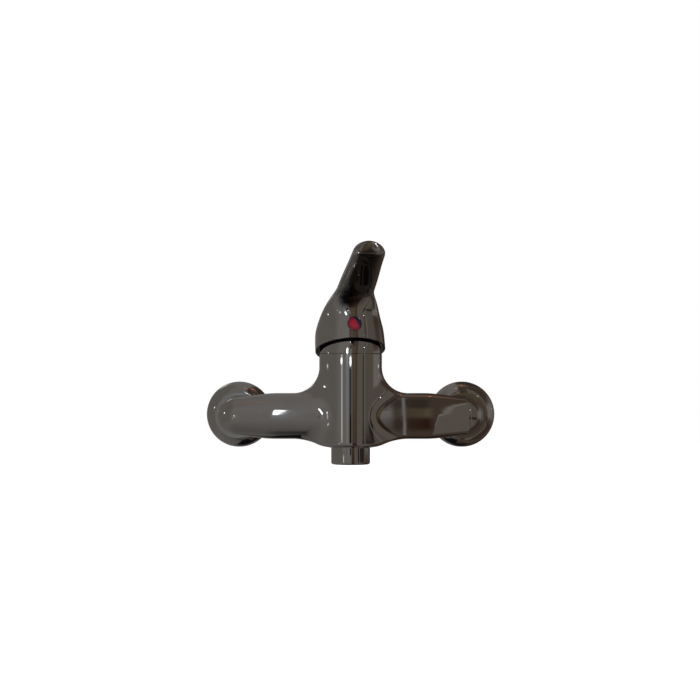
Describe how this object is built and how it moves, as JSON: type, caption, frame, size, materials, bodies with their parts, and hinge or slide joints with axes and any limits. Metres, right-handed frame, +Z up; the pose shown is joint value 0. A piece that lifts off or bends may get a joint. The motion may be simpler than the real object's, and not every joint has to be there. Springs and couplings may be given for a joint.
{
  "type": "shower mixer",
  "caption": "Wall-mounted single-lever shower mixer: chromed body with two arms, union nuts, round wall covers, tilting and turning lever, hose outlet below.",
  "frame": {"origin": "on the wall's face, midway between the two wall pipe threads", "axes": "+X to the user's right, -Y towards the user, +Y into the wall, +Z up"},
  "size_m": [0.194, 0.1513, 0.1429],
  "materials": {
    "body_chrome": "polished chrome plating",
    "outlet_chrome": "polished chrome plating",
    "ring_chrome": "polished chrome plating",
    "lever_chrome": "polished chrome plating",
    "nut_chrome": "polished chrome plating",
    "cover_chrome": "polished chrome plating",
    "raw_brass": "machined brass",
    "stem_steel": "turned stainless steel",
    "mesh_steel": "bright stainless steel",
    "badge": "glossy, half red and half blue",
    "cartridge_plastic": "moulded acetal",
    "valve_plastic": "moulded plastic",
    "disc_ceramic": "lapped white ceramic",
    "seal_rubber": "smooth rubber",
    "washer_fibre": "matt rubber fibre"
  },
  "bodies": {
    "mixer": {"mixer_body": "body_chrome", "hose_outlet": "outlet_chrome", "outlet_washer": "washer_fibre", "check_valve_housing": "valve_plastic", "check_valve_seal": "seal_rubber", "check_valve_spring": "mesh_steel", "cartridge_nut": "raw_brass", "dome_ring": "ring_chrome", "cartridge_housing": "cartridge_plastic", "cartridge_base": "cartridge_plastic", "fixed_disc": "disc_ceramic", "base_seals": "seal_rubber", "disc_seals": "seal_rubber", "inlet_nipple_left": "raw_brass", "inlet_nipple_right": "raw_brass", "union_nut_left": "nut_chrome", "union_nut_right": "nut_chrome", "union_washer_left": "washer_fibre", "union_washer_right": "washer_fibre", "strainer_left": "mesh_steel", "strainer_right": "mesh_steel", "s_union_left": "raw_brass", "s_union_right": "raw_brass", "escutcheon_left": "cover_chrome", "escutcheon_right": "cover_chrome"},
    "rotor": {"cartridge_rotor": "cartridge_plastic", "pivot_pin": "stem_steel", "rotor_seal": "seal_rubber"},
    "lever": {"lever_handle": "lever_chrome", "cartridge_stem": "stem_steel", "lever_set_screw": "stem_steel", "indicator_plug": "badge"},
    "carrier": {"disc_carrier": "cartridge_plastic", "moving_disc": "disc_ceramic"},
    "poppet": {"check_valve_poppet": "valve_plastic", "poppet_seal": "seal_rubber"}
  },
  "joints": [
    {"name": "lever_turn", "type": "hinge", "parent": "mixer", "child": "rotor", "pos_m": [0, -0.05, 0.0475], "axis": [0, 0, 1], "range_deg": [-58.5, 41.5]},
    {"name": "lever_tilt", "type": "hinge", "parent": "rotor", "child": "lever", "pos_m": [0, -0.05, 0.0475], "axis": [-0.989, -0.1478, 0], "range_deg": [-21, 4]},
    {"name": "disc_slide", "type": "slide", "parent": "rotor", "child": "carrier", "axis": [0.1478, -0.989, 0], "range_m": [-0.0051, 0.0011]},
    {"name": "check_valve_lift", "type": "slide", "parent": "mixer", "child": "poppet", "axis": [0, 0, -1], "range_m": [0, 0.003], "stiffness_N_per_m": 100, "springref_m": -0.002, "deforming": ["check_valve_spring"]}
  ],
  "couplings": [
    {"joint": "disc_slide", "follows": "lever_tilt", "m_per_rad": 0.0132}
  ]
}
